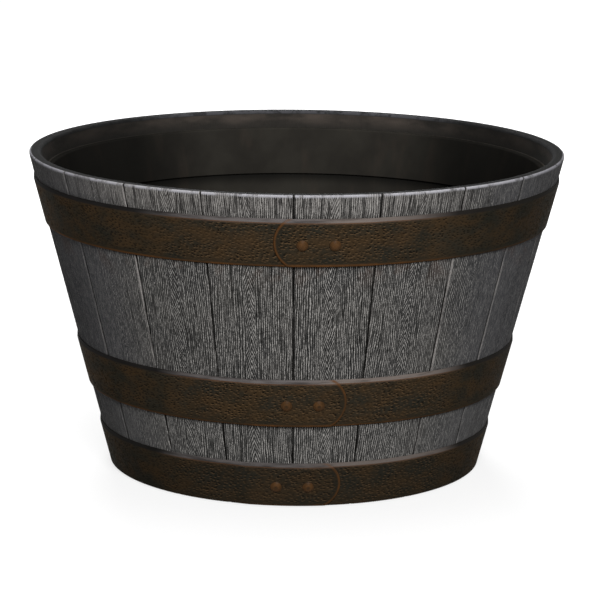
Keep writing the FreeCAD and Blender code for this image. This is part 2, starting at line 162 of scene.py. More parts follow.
head_wood, tree, shader, place = new_material("head_wood", specular=0.2, roughness=0.7)
growth = speckle(tree, stretched(tree, place, HEAD_GROWTH), detail=4.0, roughness=0.6)
pores = speckle(tree, stretched(tree, place, HEAD_PORES))
stain = blended(tree, between(tree, growth, 0.3, 0.7), EARLY_WOOD, LATE_WOOD)
stain = blended(tree, between(tree, pores, 0.6, 0.75), stain, OPEN_PORE)
stain = blended(tree, product(tree, patches(tree, place, DAMP_SIZE), 0.55), stain, DAMP_WOOD)
tree.links.new(stain, shader.inputs["Base Color"])
roughen(tree, shader, growth, strength=0.25, distance=PLANED_RELIEF)
for number in range(1, HEAD_BOARDS + 1):
    dress(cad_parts[f"head_board_{number}"], head_wood)

# Dowels: short turned beech pegs, two glued across each joint of the head. They lie inside the
# boards and keep the shape that they have in the frame.
BEECH_FIBRE = (700, 60, 700)
BEECH_FLUSH = 0.03
BEECH_DARK = screen_colour(176, 141, 104)
BEECH_LIGHT = screen_colour(203, 170, 132)
BEECH_HEART = screen_colour(150, 116, 82)

dowel_wood, tree, shader, place = new_material("dowel_wood", specular=0.3, roughness=0.55)
fibre = speckle(tree, stretched(tree, place, BEECH_FIBRE), detail=3.0)
beech = blended(tree, between(tree, fibre, 0.35, 0.65), BEECH_DARK, BEECH_LIGHT)
beech = blended(tree, product(tree, patches(tree, place, BEECH_FLUSH), 0.3), beech, BEECH_HEART)
tree.links.new(beech, shader.inputs["Base Color"])
dress(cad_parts["head_dowels"], dowel_wood)

# Staves: twenty oak boards, sawn tapered, leaning outwards, with chamfered long edges and rounded
# top ends. The weather has worn the soft wood away, so the hard grain stands up in grey ridges.
RIM_HEIGHT = 0.310
RIM_RADIUS = 0.2608
BASE_RADIUS = 0.180
LEAN = (RIM_RADIUS - BASE_RADIUS) / RIM_HEIGHT
STAVE_THICKNESS = 0.012
STAVE_COUNT = 20
WIDE_STAVES = (2, 18, 20)
WIDE_SHARE = math.radians(18.93)
NARROW_SHARE = (2 * math.pi - len(WIDE_STAVES) * WIDE_SHARE) / (STAVE_COUNT - len(WIDE_STAVES))
SEAM_GAP = 0.00003
STAVE_ANGLE = NARROW_SHARE - SEAM_GAP / RIM_RADIUS
FIRST_SEAM = math.radians(-90.5)
RIM_OUTER_BEVEL = 0.0032
RIM_INNER_BEVEL = 0.0031
RIM_SEGMENTS = 5
CROZE_FOOT = 0.02485
CROZE_CROWN = 0.03715
CROZE_RADIUS = 0.18058
CHIME_BEVEL = 0.005
SEAM_CHAMFER = 0.0014
STAVE_COLUMNS = 130
STAVE_SPANS = 10
STAVE_ROWS = 140
TOLERANCE = 1e-5

# The grain: the height that it leans about, the spread of its heart, lean and arches from board to
# board, the pitch of its ridges and arches, and how deep and how far the relief goes
GRAIN_PIVOT = 0.15
HEART_DRIFT = 0.1
GRAIN_LEAN = 0.025
ARCH_WIDTHS_MM = (4.5, 7.0)
RIDGE_PITCH_MM = 1.9
ARCH_PITCH_MM = 5.8
RIDGE_LEAST = 0.35
GRAIN_RELIEF = 0.00045
RELIEF_DEPTH = 0.0016
RELIEF_STOP = 0.002

# Changes along a board in the width and the place of its arches: strength, waves a metre, and seed
ARCH_SWELL = (0.4, 30, 60)
ARCH_STAGGER = (0.5, 60, 90)
# Ripples in the grain, in mm, and breaks in its ridges: strength, waves a metre across and along,
# and seed. Then patterns of the finish: waves a mm across and along, and steps from board to board.
WANDER = ((2.6, 34, 13, 160), (1.3, 90, 34, 0), (0.6, 240, 110, 40))
BREAKS = ((0.35, 420, 80, 80), (0.6, 900, 260, 120))
BREAK_MEAN = 0.52
FIBRE_WAVES = (0.9, 0.13, 9.0)
GRIT_WAVES = (1.9, 0.6, 3.0)
SPLIT_WAVES = (0.55, 0.014, 5.0)
CRACK_WAVES = (0.42, 0.022, 7.0)
FINE_RELIEF = 0.0004
LENGTHWISE = (0, 1, 0)

SOOT = screen_colour(16, 16, 15)
SILVER = screen_colour(170, 167, 163)
BODY_DARK = screen_colour(59, 59, 59)
BODY_LIGHT = screen_colour(73, 72, 70)
BOARD_LIGHT = screen_colour(86, 84, 82)
SMOOTH_GREY = screen_colour(75, 75, 78)
LIT_WOOD_BELOW_RIM = screen_colour(136, 132, 129)
FOOT_DUST = screen_colour(98, 97, 95)
CRACK_DARK = screen_colour(32, 31, 30)
RUST_RUN = screen_colour(84, 58, 44)
RUBBED_LIT_WOOD = screen_colour(146, 142, 139)
SEAM_DIRT_AND_SHADE = screen_colour(20, 19, 18)
END_DARK = screen_colour(24, 24, 24)
END_LIGHT = screen_colour(42, 42, 42)
INSIDE_DARK = screen_colour(38, 36, 34)
INSIDE_LIGHT = screen_colour(46, 44, 41)
INSIDE_SCUFF_SHEEN = screen_colour(82, 74, 68)
INSIDE_SIDE_SHADE = screen_colour(18, 18, 17)
RIM_SHADED = screen_colour(122, 121, 126)
RIM_LIT = screen_colour(158, 157, 162)
RIM_INNER = screen_colour(68, 68, 71)


def stave_face(height):
    """Radius of the staves' outer face at a height."""
    return BASE_RADIUS + LEAN * height


def stave_back(height):
    """Radius of the staves' inner face at a height."""
    return stave_face(height) - STAVE_THICKNESS


def take(piece):
    """Makes a piece the only one selected, ready to be worked on."""
    bpy.ops.object.select_all(action="DESELECT")
    piece.select_set(True)
    bpy.context.view_layer.objects.active = piece


def drawn_outline(name, points):
    """A new piece, left in edit mode, that is a flat face drawn from point to point."""
    bpy.ops.object.select_all(action="DESELECT")
    bpy.ops.mesh.primitive_plane_add(size=0.01)
    piece = bpy.context.object
    piece.name = name
    bpy.ops.object.mode_set(mode="EDIT")
    bpy.ops.mesh.select_mode(type="VERT")
    bpy.ops.mesh.select_all(action="SELECT")
    bpy.ops.mesh.merge(type="CENTER")
    bpy.ops.transform.translate(value=points[0])
    for start, end in zip(points, points[1:]):
        step = Vector(end) - Vector(start)
        bpy.ops.mesh.extrude_region_move(TRANSFORM_OT_translate={"value": step})
    bpy.ops.mesh.select_all(action="SELECT")
    bpy.ops.mesh.edge_face_add()
    return piece


def pick(piece, kind, wanted):
    """Selects, in edit mode, only the verts or edges that a test wants."""
    modes = {"verts": "VERT", "edges": "EDGE"}
    bpy.ops.mesh.select_all(action="DESELECT")
    bpy.ops.mesh.select_mode(type=modes[kind])
    shape = bmesh.from_edit_mesh(piece.data)
    for item in getattr(shape, kind):
        item.select_set(bool(wanted(item)))
    shape.select_flush_mode()
    bmesh.update_edit_mesh(piece.data)


def near(point, radius, height):
    """Whether a point of a section lies at a radius and a height."""
    return abs(point.x - radius) < TOLERANCE and abs(point.z - height) < TOLERANCE


def close_shape():
    """Closes the ends of a shape in edit mode, merges its doubles and turns its faces outwards."""
    bpy.ops.mesh.select_all(action="SELECT")
    bpy.ops.mesh.remove_doubles(threshold=1e-6)
    bpy.ops.mesh.fill_holes(sides=0)
    bpy.ops.mesh.normals_make_consistent(inside=False)
    bpy.ops.object.mode_set(mode="OBJECT")


# The section of a board is drawn, its top corners are rounded, and it is spun through one pitch
board = drawn_outline("stave_pattern", [
    (stave_face(0), 0, 0),
    (stave_face(RIM_HEIGHT), 0, RIM_HEIGHT),
    (stave_back(RIM_HEIGHT), 0, RIM_HEIGHT),
    (stave_back(CROZE_CROWN), 0, CROZE_CROWN),
    (CROZE_RADIUS, 0, CROZE_CROWN),
    (CROZE_RADIUS, 0, CROZE_FOOT),
    (stave_back(CROZE_FOOT), 0, CROZE_FOOT),
    (stave_back(CHIME_BEVEL), 0, CHIME_BEVEL),
    (stave_back(0) + CHIME_BEVEL, 0, 0),
])
pick(board, "verts", lambda vert: near(vert.co, RIM_RADIUS, RIM_HEIGHT))
bpy.ops.mesh.bevel(offset=RIM_OUTER_BEVEL, segments=RIM_SEGMENTS, affect="VERTICES")
pick(board, "verts", lambda vert: near(vert.co, stave_back(RIM_HEIGHT), RIM_HEIGHT))
bpy.ops.mesh.bevel(offset=RIM_INNER_BEVEL, segments=RIM_SEGMENTS, affect="VERTICES")
bpy.ops.mesh.select_all(action="SELECT")
bpy.ops.mesh.delete(type="ONLY_FACE")
pick(board, "edges", lambda edge: edge.calc_length() > RIM_HEIGHT / 2
     and min(vert.co.z for vert in edge.verts) < TOLERANCE)
bpy.ops.mesh.subdivide(number_cuts=STAVE_SPANS - 1)
pick(board, "edges", lambda edge: all(
    abs(vert.co.x - stave_face(vert.co.z)) < TOLERANCE for vert in edge.verts))
bpy.ops.mesh.subdivide(number_cuts=STAVE_ROWS // STAVE_SPANS - 1)
bpy.ops.mesh.select_all(action="SELECT")
bpy.ops.mesh.spin(steps=STAVE_COLUMNS, angle=STAVE_ANGLE, center=(0, 0, 0), axis=(0, 0, 1))
close_shape()
spun = [math.atan2(vert.co.y, vert.co.x) for vert in board.data.vertices]
board.data.transform(Matrix.Rotation(-(min(spun) + max(spun)) / 2, 4, "Z"))

# The long outer edges are chamfered
for vert in board.data.vertices:
    radius = math.hypot(vert.co.x, vert.co.y)
    from_seam = (STAVE_ANGLE / 2 - abs(math.atan2(vert.co.y, vert.co.x))) * radius
    limit = stave_face(vert.co.z) - max(0, SEAM_CHAMFER - from_seam)
    if radius > limit:
        vert.co.xy *= limit / radius


def vector_calc(tree, operation, *terms, output="Vector"):
    """The result of a sum on places and directions."""
    made = add_node(tree, "ShaderNodeVectorMath", dict(enumerate(terms)), operation=operation)
    return made.outputs[output]


# Where a place is round the barrel: how far from the axis, and how squarely it faces a side or the
# opposite one. The wear, the tones, and the painted light and shade of the staves, the hoops and the
# liner follow it.
round_barrel, given, found = new_group(
    "round_barrel", {"Place": "NodeSocketVector", "Side": "NodeSocketVector"}, ["Radius", "Facing"])
flat_place = vector_calc(round_barrel, "MULTIPLY", given["Place"], (1, 1, 0))
round_barrel.links.new(vector_calc(round_barrel, "LENGTH", flat_place, output="Value"), found["Radius"])
bearing = vector_calc(round_barrel, "NORMALIZE", flat_place)
turned = vector_calc(round_barrel, "DOT_PRODUCT", bearing, given["Side"], output="Value")
round_barrel.links.new(calc(round_barrel, "ABSOLUTE", turned), found["Facing"])


def around(tree, place, side):
    """The Radius of a place, and its Facing to a side, from 0 to 1."""
    return add_node(tree, "ShaderNodeGroup", {"Place": place, "Side": side}, node_tree=round_barrel).outputs


def parts_of(tree, vector):
    """The X, Y and Z of a vector."""
    return add_node(tree, "ShaderNodeSeparateXYZ", {0: vector}).outputs


def kept_value(tree, name, output="Fac"):
    """What keep_values stored for each vertex of the mesh under a name."""
    return add_node(tree, "ShaderNodeAttribute", attribute_name=name).outputs[output]


stave_wood, tree, shader, place = new_material("stave_wood", specular=0.012)
place_axes = parts_of(tree, place)
place_x = place_axes["X"]
height_mm = product(tree, place_axes["Z"], 1000)
below_rim_mm = calc(tree, "SUBTRACT", RIM_HEIGHT * 1000, height_mm)
place_round = around(tree, place, LENGTHWISE)
lengthwise = place_round["Facing"]
radius_mm = product(tree, place_round["Radius"], 1000)
face_mm = calc(tree, "MULTIPLY_ADD", height_mm, LEAN, BASE_RADIUS * 1000)
depth_mm = calc(tree, "SUBTRACT", face_mm, radius_mm)
seam_mm = kept_value(tree, "seam_mm")
from_seam = calc(tree, "ABSOLUTE", seam_mm)
board_tone = kept_value(tree, "board_tone")
ring, across_mm, broken = parts_of(tree, kept_value(tree, "grain", "Vector"))
grain_place = add_node(tree, "ShaderNodeCombineXYZ", {"X": across_mm, "Y": height_mm, "Z": board_tone})
grain_place = grain_place.outputs["Vector"]

# Ridges of hard grain with grooves between them, both broken up into dashes. The weathered mask fades
# them and the splits at the sides as painted shade, so the sides are plainer and darker
fibre = speckle(tree, stretched(tree, grain_place, FIBRE_WAVES), detail=3.0, roughness=0.7)
grit = speckle(tree, stretched(tree, grain_place, GRIT_WAVES))
wave = product(tree, calc(tree, "PINGPONG", ring, 0.5), 2.0)
wave = calc(tree, "ADD", wave, between(tree, fibre, 0.25, 0.75, -0.17, 0.17))
wave = calc(tree, "ADD", wave, between(tree, grit, 0.3, 0.7, -0.22, 0.22))
weathered = between(tree, lengthwise, 0.5, 1.0, 0.3, 1.0)
unbroken = between(tree, broken, 0.25, 0.65, 0.1, 1.0)
opened = between(tree, broken, 0.8, 0.3, 0.35, 1.0)
crest = product(tree, between(tree, wave, 0.55, 0.95), unbroken, weathered)
groove = product(tree, between(tree, wave, 0.48, 0.14), opened, weathered)
splits = speckle(tree, stretched(tree, grain_place, SPLIT_WAVES))
splits = product(tree, between(tree, splits, 0.59, 0.66), weathered, 0.75)

# The body of the boards: each has its own tone, plainer grey at the sides as part of the painted shade,
# paler below the rim as painted light, most at the front and the back and less to +X, and dusty towards
# the foot
body = blended(tree, patches(tree, place, size=0.06), BODY_DARK, BODY_LIGHT)
body = blended(tree, between(tree, board_tone, -1.0, 1.0, 0.0, 0.35), body, BOARD_LIGHT)
body = blended(tree, between(tree, weathered, 0.85, 0.4, 0.0, 0.7), body, SMOOTH_GREY)
painted_light_below_rim = product(
    tree,
    between(tree, below_rim_mm, 28.0, 10.0),
    between(tree, lengthwise, 0.5, 0.94, 0.12, 0.58),
    between(tree, place_x, 0.08, 0.18, 1.0, 0.2),
)
body = blended(tree, painted_light_below_rim, body, LIT_WOOD_BELOW_RIM)
body = blended(tree, between(tree, height_mm, 130.0, 60.0, 0.0, 0.3), body, FOOT_DUST)
face = blended(tree, crest, body, SILVER)
face = blended(tree, calc(tree, "MAXIMUM", groove, splits), face, SOOT)

# Drying cracks run down from the rim, and rust has run down from the top hoop
cracks = speckle(tree, stretched(tree, grain_place, CRACK_WAVES), detail=3.0, roughness=0.6)
cracks = product(
    tree,
    between(tree, cracks, 0.55, 0.61),
    between(tree, below_rim_mm, 26.0, 18.0),
    between(tree, lengthwise, 0.5, 0.9, 0.2, 0.8),
)
face = blended(tree, cracks, face, CRACK_DARK)
rust_runs = product(
    tree,
    between(tree, height_mm, 212.0, 240.0),
    between(tree, height_mm, 250.0, 242.0),
    between(tree, patches(tree, place, size=0.03), 0.5, 1.0, 0.0, 0.22),
)
face = blended(tree, rust_runs, face, RUST_RUN)

# Dirt in the seams. On one edge of each board, dirt and painted shade that reach further at the sides;
# the edge across from it, on the front half the one turned towards the middle, is partly rubbed pale
# and partly a painted highlight
lit_rubbed_edge = calc(tree, "LESS_THAN", product(tree, seam_mm, place_x), 0.0)
dirty_shaded_edge = calc(tree, "SUBTRACT", 1.0, lit_rubbed_edge)
touched = patches(tree, stretched(tree, place, (1, 1, 0.6), offset=(7, 3, 2)), size=0.035)
rubbed = product(
    tree,
    lit_rubbed_edge,
    between(tree, from_seam, 2.9, 1.9),
    between(tree, grit, 0.35, 0.6, 0.45, 0.95),
    between(tree, lengthwise, 0.45, 0.75, 0.25, 0.95),
    between(tree, lengthwise, 0.84, 0.95, 1.0, 0.3),
    between(tree, height_mm, 90.0, 150.0, 0.2, 1.0),
    between(tree, touched, 0.15, 0.75, 0.25, 1.0),
)
face = blended(tree, rubbed, face, RUBBED_LIT_WOOD)
packed = patches(tree, stretched(tree, place, (1, 1, 0.5), offset=(2, 5, 1)), size=0.03)
dirt_and_shade_reach = product(tree, from_seam, between(tree, lengthwise, 0.5, 0.9, 0.5, 1.0))
dirt_and_shade = product(tree, between(tree, dirt_and_shade_reach, 1.9, 0.9), dirty_shaded_edge, 0.85)
dirt_and_shade = calc(tree, "MAXIMUM", dirt_and_shade, between(tree, from_seam, 0.75, 0.2))
dirt_and_shade = product(tree, dirt_and_shade, between(tree, packed, 0.1, 0.6, 0.6, 1.0))
face = blended(tree, dirt_and_shade, face, SEAM_DIRT_AND_SHADE)

# Top end and inside: dark, with pale scuffs just below the rim that are partly a painted sheen, and
# painted shade that darkens the inside at the sides
end_grain = speckle(tree, stretched(tree, place, (1, 1, 0.4)), 420.0, detail=3.0)
end_tone = blended(tree, end_grain, END_DARK, END_LIGHT)
inside_tone = blended(tree, end_grain, INSIDE_DARK, INSIDE_LIGHT)
scuffed_sheen = product(
    tree,
    patches(tree, stretched(tree, place, (1, 1, 3), offset=(0, 4, 0)), size=0.05),
    between(tree, below_rim_mm, 18.0, 6.0),
    0.6,
)
inside_tone = blended(tree, scuffed_sheen, inside_tone, INSIDE_SCUFF_SHEEN)
inside_tone = blended(tree, between(tree, below_rim_mm, 3.6, 2.6), inside_tone, end_tone)
inside_tone = blended(tree, between(tree, lengthwise, 0.97, 0.65, 0.0, 0.7), inside_tone, INSIDE_SIDE_SHADE)
face = blended(tree, between(tree, depth_mm, 1.6, 3.2), face, inside_tone)

# A chipped pale line along the outer top edge, frayed by the ridges, paler at the front and the back as
# painted light and duller at the sides as painted shade, and a fainter one along the inner edge, partly
# chipped wear and partly a painted highlight, strongest at the front and the back
chipped = between(tree, speckle(tree, place, 70.0, detail=5.0, roughness=0.65), 0.38, 0.52, 0.25, 0.95)
outer_corner = product(
    tree,
    chipped,
    between(tree, calc(tree, "SUBTRACT", below_rim_mm, crest), 3.1, 1.4),
    between(tree, depth_mm, 3.0, 1.8),
    between(tree, from_seam, 0.6, 1.7),
)
rim_light_and_shade = blended(tree, between(tree, lengthwise, 0.3, 0.9), RIM_SHADED, RIM_LIT)
face = blended(tree, outer_corner, face, rim_light_and_shade)
inner_corner = product(
    tree,
    chipped,
    between(tree, below_rim_mm, 3.5, 2.0),
    between(tree, depth_mm, 8.0, 9.5),
    between(tree, lengthwise, 0.7, 0.95, 0.1, 1.0),
)
face = blended(tree, inner_corner, face, RIM_INNER)
tree.links.new(face, shader.inputs["Base Color"])
tree.links.new(between(tree, crest, 0.0, 1.0, 0.9, 0.7), shader.inputs["Roughness"])
roughen(tree, shader, wave, strength=0.35, distance=FINE_RELIEF)


def keep_values(mesh, name, values):
    """Stores one number, or three in a row, for each vertex of a mesh, for its material to read."""
    triple = len(values) > len(mesh.vertices)
    mesh.attributes.new(name, "FLOAT_VECTOR" if triple else "FLOAT", "POINT")
    mesh.attributes[name].data.foreach_set("vector" if triple else "value", values)


def ripples(waves, across, along, seed):
    """A sum of noises on a surface, each with its strength, waves a metre both ways, and seed."""
    return sum(strength * noise.noise((across * wide, along * tall, seed + shift))
               for strength, wide, tall, shift in waves)


def waver(wave, along, number):
    """A slow change along a board, with its strength, waves a metre, and seed."""
    strength, tall, seed = wave
    return strength * noise.noise((along * tall, number, seed))


chance = random.Random(7)
seam = FIRST_SEAM
for number in range(1, STAVE_COUNT + 1):
    stave = board.copy()
    stave.data = board.data.copy()
    stave.name = f"weathered_stave_{number:02d}"
    bpy.context.collection.objects.link(stave)
    share = WIDE_SHARE if number in WIDE_STAVES else NARROW_SHARE
    widened = share / NARROW_SHARE
    middle = seam + share / 2
    seam += share
    heart = share * chance.uniform(-HEART_DRIFT, HEART_DRIFT)
    lean = chance.uniform(-GRAIN_LEAN, GRAIN_LEAN)
    arch_width = chance.uniform(*ARCH_WIDTHS_MM)
    way = 1 if number % 2 else -1
    tone = chance.uniform(-1, 1)
    mesh = stave.data
    grains = []
    seams = []
    wear = {}
    for vert in mesh.vertices:
        height = vert.co.z
        radius = math.hypot(vert.co.x, vert.co.y)
        angle = math.atan2(vert.co.y, vert.co.x) * widened
        vert.co.xy = (radius * math.cos(angle), radius * math.sin(angle))
        across = angle * radius
        line = heart * radius + lean * (height - GRAIN_PIVOT)
        from_heart = abs((across - line) * 1000 + ripples(WANDER, across, height, number))

        # The ridges run straight beside the heart of the board, and in stacked arches along it
        turn = from_heart / RIDGE_PITCH_MM
        if from_heart < arch_width * (1 + waver(ARCH_SWELL, height, number)):
            turn -= way * (height * 1000 / ARCH_PITCH_MM + waver(ARCH_STAGGER, height, number))
        kept_ridge = min(max(BREAK_MEAN + ripples(BREAKS, across, height, number), 0), 1)
        grains += (turn, across * 1000, kept_ridge)
        from_edge = (STAVE_ANGLE * widened / 2 - abs(angle)) * radius * 1000
        seams.append(math.copysign(from_edge, angle))
        if radius > stave_face(height) - RELIEF_DEPTH and height < RIM_HEIGHT - RELIEF_STOP:
            ridge = 1 - abs(turn % 1 - 0.5) * 2
            wear[vert.index] = 1 - ridge * (RIDGE_LEAST + (1 - RIDGE_LEAST) * kept_ridge)
    keep_values(mesh, "grain", grains)
    keep_values(mesh, "seam_mm", seams)
    keep_values(mesh, "board_tone", [tone] * len(mesh.vertices))
    worn_away = stave.vertex_groups.new(name="worn_away")
    for index, depth in wear.items():
        worn_away.add([index], depth, "REPLACE")
    mesh.transform(Matrix.Rotation(middle, 4, "Z"))
    take(stave)
    relief = stave.modifiers.new("relief", "DISPLACE")
    relief.vertex_group = "worn_away"
    relief.mid_level = 0
    relief.strength = -GRAIN_RELIEF
    bpy.ops.object.modifier_apply(modifier="relief")
    bpy.ops.object.shade_smooth_by_angle(angle=math.radians(50))
    dress(stave, stave_wood)
    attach(stave, "barrel")
    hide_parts(f"stave_{number:02d}")
bpy.data.objects.remove(board)

# Hoops: three steel strips with a hammered dark bronze finish and a sloped upper edge, bent round the
# staves. At the front the rounded outer end is joggled up over the inner end and riveted to it.
HOOP_THICKNESS = 0.0018
HOOP_CLEARANCE = 0.0001
HOOP_BEVEL = 0.0042
HOOP_LAND = 0.0005
HOOP_BREAK = 0.0006
HOOP_LENGTHS = 20
HOOP_STEPS = 100
HOOP_ROWS = 34
SLOPE_ROWS = 4
SLOPE_COSINE = RIM_HEIGHT / math.hypot(RIM_HEIGHT, RIM_RADIUS - BASE_RADIUS)
LAP_LENGTH = 0.084
LAP_RAMP = 0.024
LAP_END_GAP = 0.002
LAP_STEP = HOOP_THICKNESS + HOOP_CLEARANCE
NOSE_DEPTH = 0.0125
NOSE_FADE = 0.05
NOSE_ROUND = 0.0016
NOSE_MARGIN = 0.002
FAR_FROM_END = 1.0
# Name, width of the strip, height of its lower edge, angle of its rounded end, way that it runs,
# and distance from its rounded end to the first rivet
HOOPS = (
    ("top", 0.0474, 0.24193, -94.7, 1, 0.0261),
    ("middle", 0.0484, 0.08280, -76.7, -1, 0.0258),
    ("bottom", 0.0450, 0.00100, -76.6, -1, 0.0301),
)

# The hammer's blows, large and small, as strength, waves a metre along and up, and seed. They come in
# patches, slant along the strip and stop short of its edges.
BLOWS = ((1.0, 240, 430, 0), (0.4, 520, 800, 9))
BLOW_PATCHES = ((1.0, 22, 30, 20),)
BLOW_SLANT = 0.5
BLOW_MEAN = 0.5
BLOW_LEAST = 0.2
BLOW_SPAN = 0.4
BLOW_MARGIN = 0.003
BLOW_SEED = 50
DENT_DEPTH = 0.00035
PIT_SCALE = (0.24, 0.37, 1.0)
GLINT_DROP_MM = 0.9
GLINT_LEAST = 0.12
GLINT_LIT = 0.48
BEATEN_WAVES = (300, 300, 620)
BEATEN_RELIEF = 0.0006

# Painted light and wear: the side counted as lit, how far that moves on the top hoop, what the rubbed
# lower edges are narrowed by, less on the lap, and the least of the painted light on the slope and
# where it starts
LIT_SIDE = (0.105, -0.995, 0)
TOP_SKEW = 0.408
TOP_LOSS = 0.084
EDGE_UNRUBBED = {"top": 0.0006, "middle": 0.0011, "bottom": 0.0018}
LAP_RUBBED = 0.0006
SLOPE_LEAST = 0.06
SLOPE_EARLY = 0.0003
SLOPE_BLEND = 0.0009
BRUSHED_WAVES = (26, 26, 260)

BRONZE_DARK = screen_colour(38, 37, 31)
BRONZE_LIGHT = screen_colour(45, 42, 35)
BRONZE_RUST = screen_colour(72, 53, 32)
BRONZE_CALM = screen_colour(36, 34, 28)
BRONZE_LOW_SHADE = screen_colour(26, 26, 23)
BRONZE_SHADED = screen_colour(24, 23, 19)
GLINT = screen_colour(108, 85, 60)
PIT_DARK = screen_colour(15, 14, 12)
DENT_DARK = screen_colour(20, 17, 13)
SLOPE_DULL = screen_colour(66, 62, 61)
SLOPE_PALE = screen_colour(100, 95, 94)
SLOPE_HIGHLIGHT = screen_colour(118, 108, 102)
SLOPE_SHADED = screen_colour(22, 21, 20)
SLOPE_COPPER = screen_colour(98, 65, 38)
EDGE_COPPER = screen_colour(94, 61, 32)


def eased(share):
    """A share from 0 to 1, with a soft start and end."""
    share = min(max(share, 0), 1)
    return share * share * (3 - 2 * share)


def beaten_depth(along, up, rise, seed):
    """How deep the hammer has gone at a place on a strip of a rise, from 0 to 1."""
    beat = ripples(BLOWS, along + BLOW_SLANT * up, up, seed)
    often = BLOW_MEAN + ripples(BLOW_PATCHES, along, up, seed)
    inner = eased((up - HOOP_BREAK) / BLOW_MARGIN) * eased((rise - HOOP_BEVEL - up) / BLOW_MARGIN)
    return eased((beat - BLOW_LEAST + BLOW_LEAST * often) / BLOW_SPAN) * inner


def pitted(tree, place):
    """Small pits, one to each cell of a scattered pattern: 1 in a pit, 0 between them."""
    inputs = {"Vector": place, "Scale": 1.0, "Randomness": 1.0}
    cells = add_node(tree, "ShaderNodeTexVoronoi", inputs, voronoi_dimensions="2D")
    return between(tree, cells.outputs["Distance"], 0.38, 0.16)


hoop_metal, tree, shader, place = new_material("hoop_metal", specular=0.008)
place_axes = parts_of(tree, place)
place_x = place_axes["X"]
place_z = place_axes["Z"]
dent = kept_value(tree, "dent")
strip_mm = kept_value(tree, "strip_mm", "Vector")
edge_mm = kept_value(tree, "edge_mm")
on_slope = kept_value(tree, "on_slope")
bronze = blended(tree, patches(tree, place, size=0.022), BRONZE_DARK, BRONZE_LIGHT)
rust = product(tree, patches(tree, stretched(tree, place, (1, 1, 1.8), offset=(3, 1, 2)), size=0.03), 0.6)
bronze = blended(tree, rust, bronze, BRONZE_RUST)
bronze = blended(tree, between(tree, edge_mm, 9.0, 3.0, 0.0, 0.5), bronze, BRONZE_CALM)

# Painted light: the front and the back count as lit, further to -X on the top hoop and wider on the
# bottom one
unlit_shift = calc(tree, "MULTIPLY_ADD", place_x, TOP_SKEW, TOP_LOSS)
unlit_shift = product(tree, unlit_shift, between(tree, place_z, 0.15, 0.25))
facing = around(tree, place, LIT_SIDE)["Facing"]
facing = calc(tree, "ADD", facing, between(tree, place_z, 0.06, 0.04, 0.0, 0.08))
painted_light_share = between(tree, calc(tree, "SUBTRACT", facing, unlit_shift), 0.7, 0.9)

# Dark pits all over the flat face, partly dark finish and partly painted shade, each with a painted
# glint on its lower lip, strongest where the painted light falls
on_face = product(tree, between(tree, edge_mm, 2.5, 6.5), calc(tree, "SUBTRACT", 1.0, on_slope))
struck = product(tree, on_face, between(tree, patches(tree, place, size=0.02), 0.0, 1.0, 0.45, 1.0))
pit = product(tree, pitted(tree, stretched(tree, strip_mm, PIT_SCALE)), struck)
above_pit = stretched(tree, strip_mm, PIT_SCALE, offset=(0, GLINT_DROP_MM * PIT_SCALE[1], 0))
glint = calc(tree, "SUBTRACT", pitted(tree, above_pit), pit, clamp=True)
glint = product(tree, glint, struck, calc(tree, "MULTIPLY_ADD", painted_light_share, GLINT_LIT, GLINT_LEAST))
bronze = blended(tree, glint, bronze, GLINT)
bronze = blended(tree, product(tree, pit, 0.85), bronze, PIT_DARK)
bronze = blended(tree, between(tree, dent, 0.3, 1.0, 0.0, 0.2), bronze, DENT_DARK)

# The sloped upper edge is brushed pale where the painted light falls, at the front and the back, with a
# whiter painted highlight to +X and painted shade elsewhere; the copper along its foot shows only where
# it is lit
brushed = speckle(tree, stretched(tree, place, BRUSHED_WAVES, offset=(5, 2, 7)), detail=4.0, roughness=0.6)
pale = blended(tree, between(tree, brushed, 0.35, 0.6), SLOPE_DULL, SLOPE_PALE)
slope_highlight = between(tree, place_x, 0.0, 0.05, 0.0, 0.8)
slope_highlight = product(tree, slope_highlight, between(tree, brushed, 0.3, 0.5, 0.4, 1.0))
pale = blended(tree, slope_highlight, pale, SLOPE_HIGHLIGHT)
pale = blended(tree, calc(tree, "MAXIMUM", painted_light_share, SLOPE_LEAST), SLOPE_SHADED, pale)
bronze = blended(tree, on_slope, bronze, pale)
slope_foot = product(
    tree,
    between(tree, on_slope, 0.05, 0.4),
    between(tree, on_slope, 0.95, 0.5),
    painted_light_share,
    0.6,
)
bronze = blended(tree, slope_foot, bronze, SLOPE_COPPER)

# Painted shade: the bottom hoop and the +X side are darker. The lower edges are rubbed to copper
bronze = blended(tree, between(tree, place_z, 0.07, 0.04, 0.0, 0.25), bronze, BRONZE_LOW_SHADE)
shaded = product(tree, between(tree, place_x, 0.12, 0.24, 0.0, 0.5), between(tree, place_z, 0.04, 0.1))
bronze = blended(tree, shaded, bronze, BRONZE_SHADED)
rubbed = product(
    tree,
    between(tree, edge_mm, 3.3, 1.2),
    between(tree, edge_mm, -0.4, 0.6),
    between(tree, patches(tree, place, size=0.03), 0.0, 1.0, 0.4, 0.9),
    between(tree, place_x, 0.17, 0.08, 0.3, 1.0),
)
bronze = blended(tree, rubbed, bronze, EDGE_COPPER)
tree.links.new(bronze, shader.inputs["Base Color"])
tree.links.new(between(tree, dent, 0.0, 1.0, 0.65, 0.85), shader.inputs["Roughness"])
beaten = speckle(tree, stretched(tree, place, BEATEN_WAVES), detail=3.0)
roughen(tree, shader, beaten, strength=0.4, distance=BEATEN_RELIEF)

